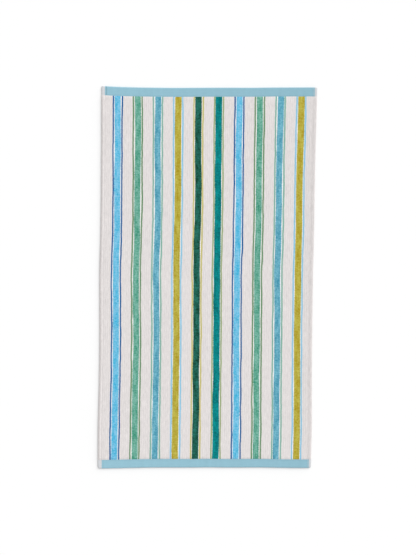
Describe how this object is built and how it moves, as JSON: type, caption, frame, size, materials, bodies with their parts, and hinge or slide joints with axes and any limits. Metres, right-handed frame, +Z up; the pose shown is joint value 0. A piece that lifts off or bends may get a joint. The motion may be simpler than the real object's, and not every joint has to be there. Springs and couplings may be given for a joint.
{
  "type": "hand towel",
  "caption": "Hand towel lying flat: off-white velour terry with lengthwise multicoloured stripes, flat-woven pale blue end hems and narrow side hems.",
  "frame": {"origin": "under the middle of the towel's box, on the surface it lies on", "axes": "+Y up the towel's length as pictured, +X across it to the right, +Z up out of the printed face"},
  "size_m": [0.5204, 0.906, 0.0042],
  "materials": {
    "velour_terry": "matt sheared cotton pile, printed in stripes, with flat-woven pale blue end hems"
  },
  "bodies": {
    "root": {"towel": "velour_terry"}
  },
  "joints": []
}
